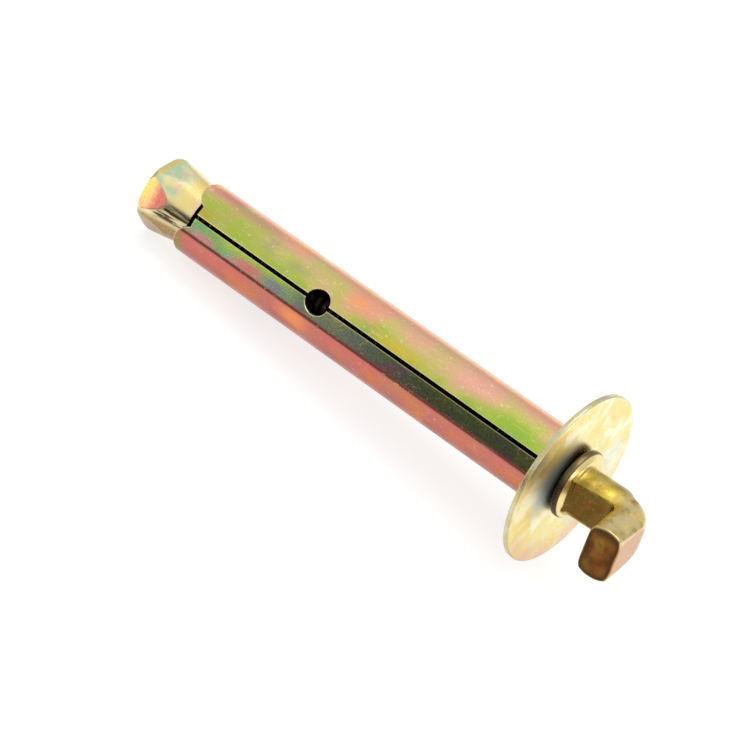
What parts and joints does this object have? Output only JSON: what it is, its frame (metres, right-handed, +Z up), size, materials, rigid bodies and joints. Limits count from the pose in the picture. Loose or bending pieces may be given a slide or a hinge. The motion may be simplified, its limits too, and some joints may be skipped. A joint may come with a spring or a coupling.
{
  "type": "expansion hook bolt",
  "caption": "Expansion anchor with an L hook: turning the collared rod draws a cone nut into a split sheet sleeve, which spreads and grips the drilled hole behind a washer.",
  "frame": {"origin": "centre of the bounding box, on the floor that the bolt lies on", "axes": "+X from the nut to the hook, +Z up from the floor; the arm of the hook points toward -Y and a little up; the bolt's own axis rises from the nut to the hook by 6 degrees, because it rests on the rim of the washer and on a flat of the nut"},
  "size_m": [0.0978, 0.028, 0.0279],
  "materials": {
    "sleeve": "zinc plate with a yellow iridescent chromate film over rolled sheet",
    "cone_nut": "zinc plate with a yellow iridescent chromate film over turned hexagon bar",
    "washer": "zinc plate with a pale yellow chromate film over blanked sheet",
    "hook_bolt": "zinc plate with a golden chromate film over an upset and pressed bar"
  },
  "bodies": {
    "sleeve": {"sleeve": "sleeve"},
    "hook_bolt": {"hook_bolt": "hook_bolt"},
    "cone_nut": {"cone_nut": "cone_nut"},
    "washer": {"washer": "washer"}
  },
  "joints": [
    {"name": "hook_turn", "type": "hinge", "parent": "sleeve", "child": "hook_bolt", "pos_m": [0.03238, 0, 0.01392], "axis": [-0.9946, 0, -0.1036], "range_deg": [-1170, 270]},
    {"name": "nut_draw", "type": "slide", "parent": "sleeve", "child": "cone_nut", "axis": [0.9946, 0, 0.1036], "range_m": [-0.00407, 0.00094]},
    {"name": "washer_spin", "type": "hinge", "parent": "hook_bolt", "child": "washer", "pos_m": [0.03277, 0, 0.01397], "axis": [0.9946, 0, 0.1036], "continuous": true}
  ],
  "couplings": [
    {"joint": "nut_draw", "follows": "hook_turn", "m_per_rad": 0.00019894}
  ]
}
